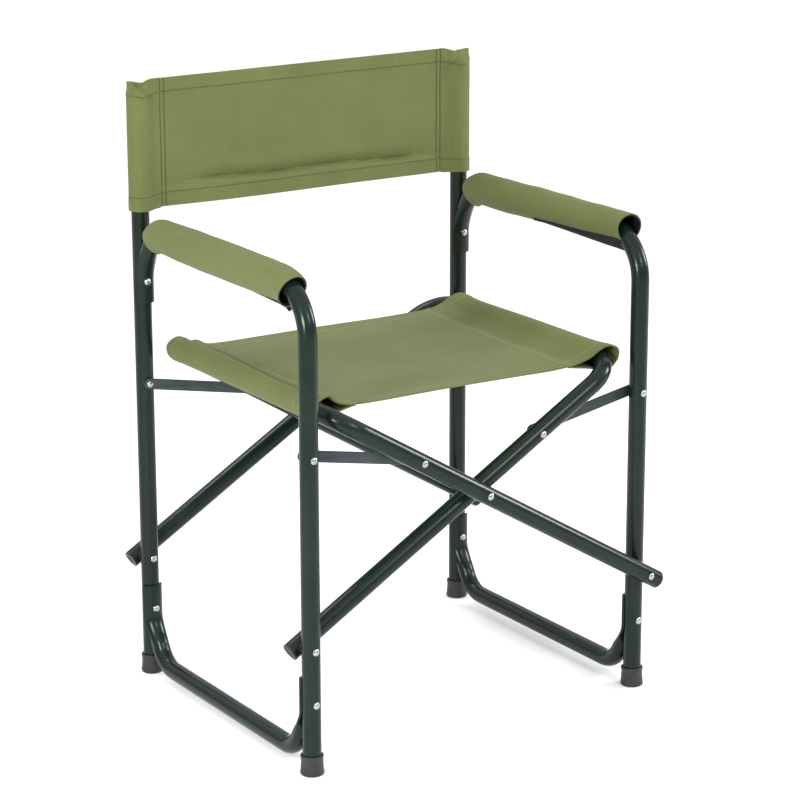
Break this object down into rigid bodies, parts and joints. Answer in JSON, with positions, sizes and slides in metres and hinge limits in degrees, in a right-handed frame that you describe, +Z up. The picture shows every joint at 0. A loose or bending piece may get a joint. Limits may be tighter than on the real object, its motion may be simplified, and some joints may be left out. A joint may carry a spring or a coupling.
{
  "type": "folding director chair",
  "caption": "Folding director chair: tubular steel side frames, crossed seat rails, flat links, canvas sling seat and sleeved canvas back.",
  "frame": {"origin": "on the floor under the middle of the open chair", "axes": "+Z up, +Y to the back, +X to the right as seen from the front"},
  "size_m": [0.5218, 0.444, 0.751],
  "materials": {
    "green_paint": "dark green gloss enamel",
    "link_paint": "dark green-grey gloss enamel",
    "bright_steel": "bright zinc-plated",
    "dark_plastic": "dark grey, matte moulded",
    "nylon": "black nylon",
    "canvas": "olive green woven polyester canvas"
  },
  "bodies": {
    "frame_left": {"arm_leg_tube_left": "green_paint", "rear_post_left": "green_paint", "stretcher_left": "green_paint", "front_foot_cap_left": "dark_plastic", "rear_foot_cap_left": "dark_plastic", "post_top_plug_left": "dark_plastic", "arm_cover_left": "canvas", "arm_rivet_left": "bright_steel", "stretcher_front_rivet_left": "bright_steel", "stretcher_rear_rivet_left": "bright_steel", "front_lower_pivot_left_rivet": "bright_steel", "front_lower_pivot_left_washer": "nylon", "rear_lower_pivot_left_rivet": "bright_steel", "rear_lower_pivot_left_washer": "nylon", "front_link_frame_rivet_left": "bright_steel", "rear_link_frame_rivet_left": "bright_steel"},
    "frame_right": {"arm_leg_tube_right": "green_paint", "rear_post_right": "green_paint", "stretcher_right": "green_paint", "front_foot_cap_right": "dark_plastic", "rear_foot_cap_right": "dark_plastic", "post_top_plug_right": "dark_plastic", "arm_cover_right": "canvas", "arm_rivet_right": "bright_steel", "stretcher_front_rivet_right": "bright_steel", "stretcher_rear_rivet_right": "bright_steel", "front_lower_pivot_right_rivet": "bright_steel", "front_lower_pivot_right_washer": "nylon", "rear_lower_pivot_right_rivet": "bright_steel", "rear_lower_pivot_right_washer": "nylon", "front_link_frame_rivet_right": "bright_steel", "rear_link_frame_rivet_right": "bright_steel"},
    "rail_right": {"seat_rail_right": "green_paint", "rail_plug_front_right": "dark_plastic", "rail_plug_rear_right": "dark_plastic", "front_link_rail_rivet_right": "bright_steel", "rear_link_rail_rivet_right": "bright_steel", "front_cross_pivot_rivet": "bright_steel", "front_cross_pivot_washer": "nylon", "rear_cross_pivot_rivet": "bright_steel", "rear_cross_pivot_washer": "nylon"},
    "rail_left": {"seat_rail_left": "green_paint", "rail_plug_front_left": "dark_plastic", "rail_plug_rear_left": "dark_plastic", "front_link_rail_rivet_left": "bright_steel", "rear_link_rail_rivet_left": "bright_steel"},
    "front_link_left": {"front_link_left": "link_paint"},
    "rear_link_left": {"rear_link_left": "link_paint"},
    "front_link_right": {"front_link_right": "link_paint"},
    "rear_link_right": {"rear_link_right": "link_paint"},
    "seat_left": {"seat_canvas_left": "canvas"},
    "seat_right": {"seat_canvas_right": "canvas"},
    "back_left": {"back_canvas_left": "canvas"},
    "back_right": {"back_canvas_right": "canvas"}
  },
  "joints": [
    {"name": "fold", "type": "hinge", "parent": "frame_left", "child": "rail_right", "pos_m": [-0.24, -0.184, 0.152], "axis": [0, -1, 0], "range_deg": [0, 37.4], "deforming": ["seat_canvas_left", "seat_canvas_right", "back_canvas_left", "back_canvas_right", "arm_cover_left", "arm_cover_right"]},
    {"name": "cross", "type": "hinge", "parent": "rail_right", "child": "rail_left", "pos_m": [0, -0.196, 0.296], "axis": [0, -1, 0], "range_deg": [-74.8, 0]},
    {"name": "right_frame_pivot", "type": "hinge", "parent": "rail_left", "child": "frame_right", "pos_m": [0.24, -0.196, 0.152], "axis": [0, -1, 0], "range_deg": [0, 37.4]},
    {"name": "front_link_left_pivot", "type": "hinge", "parent": "frame_left", "child": "front_link_left", "pos_m": [-0.24, -0.195, 0.3793], "axis": [0, -1, 0], "range_deg": [0, 75.07]},
    {"name": "rear_link_left_pivot", "type": "hinge", "parent": "frame_left", "child": "rear_link_left", "pos_m": [-0.24, 0.171, 0.3793], "axis": [0, -1, 0], "range_deg": [0, 75.07]},
    {"name": "front_link_right_pivot", "type": "hinge", "parent": "frame_right", "child": "front_link_right", "pos_m": [0.24, -0.171, 0.3793], "axis": [0, -1, 0], "range_deg": [-75.07, 0]},
    {"name": "rear_link_right_pivot", "type": "hinge", "parent": "frame_right", "child": "rear_link_right", "pos_m": [0.24, 0.195, 0.3793], "axis": [0, -1, 0], "range_deg": [-75.07, 0]},
    {"name": "seat_sleeve", "type": "hinge", "parent": "rail_left", "child": "seat_left", "pos_m": [-0.2058, 0, 0.41948], "axis": [0, -1, 0], "range_deg": [-25.89, 0]},
    {"name": "seat_crease", "type": "hinge", "parent": "seat_left", "child": "seat_right", "pos_m": [0, 0, 0.415], "axis": [0, -1, 0], "range_deg": [0, 126.59]},
    {"name": "back_sleeve", "type": "hinge", "parent": "frame_left", "child": "back_left", "pos_m": [-0.24, 0.184, 0.673], "axis": [0, 0, 1], "range_deg": [0, 68.16]},
    {"name": "back_crease", "type": "hinge", "parent": "back_left", "child": "back_right", "pos_m": [0, 0.196, 0.673], "axis": [0, 0, 1], "range_deg": [-128.77, 0]}
  ],
  "couplings": [
    {"joint": "cross", "follows": "fold", "ratio": -2},
    {"joint": "right_frame_pivot", "follows": "fold", "ratio": 1},
    {"joint": "front_link_left_pivot", "follows": "fold", "ratio": 2.0072},
    {"joint": "rear_link_left_pivot", "follows": "fold", "ratio": 2.0072},
    {"joint": "front_link_right_pivot", "follows": "fold", "ratio": -2.0072},
    {"joint": "rear_link_right_pivot", "follows": "fold", "ratio": -2.0072},
    {"joint": "seat_sleeve", "follows": "fold", "ratio": -0.69232},
    {"joint": "seat_crease", "follows": "fold", "ratio": 3.3846},
    {"joint": "back_sleeve", "follows": "fold", "ratio": 1.8223},
    {"joint": "back_crease", "follows": "fold", "ratio": -3.443}
  ]
}
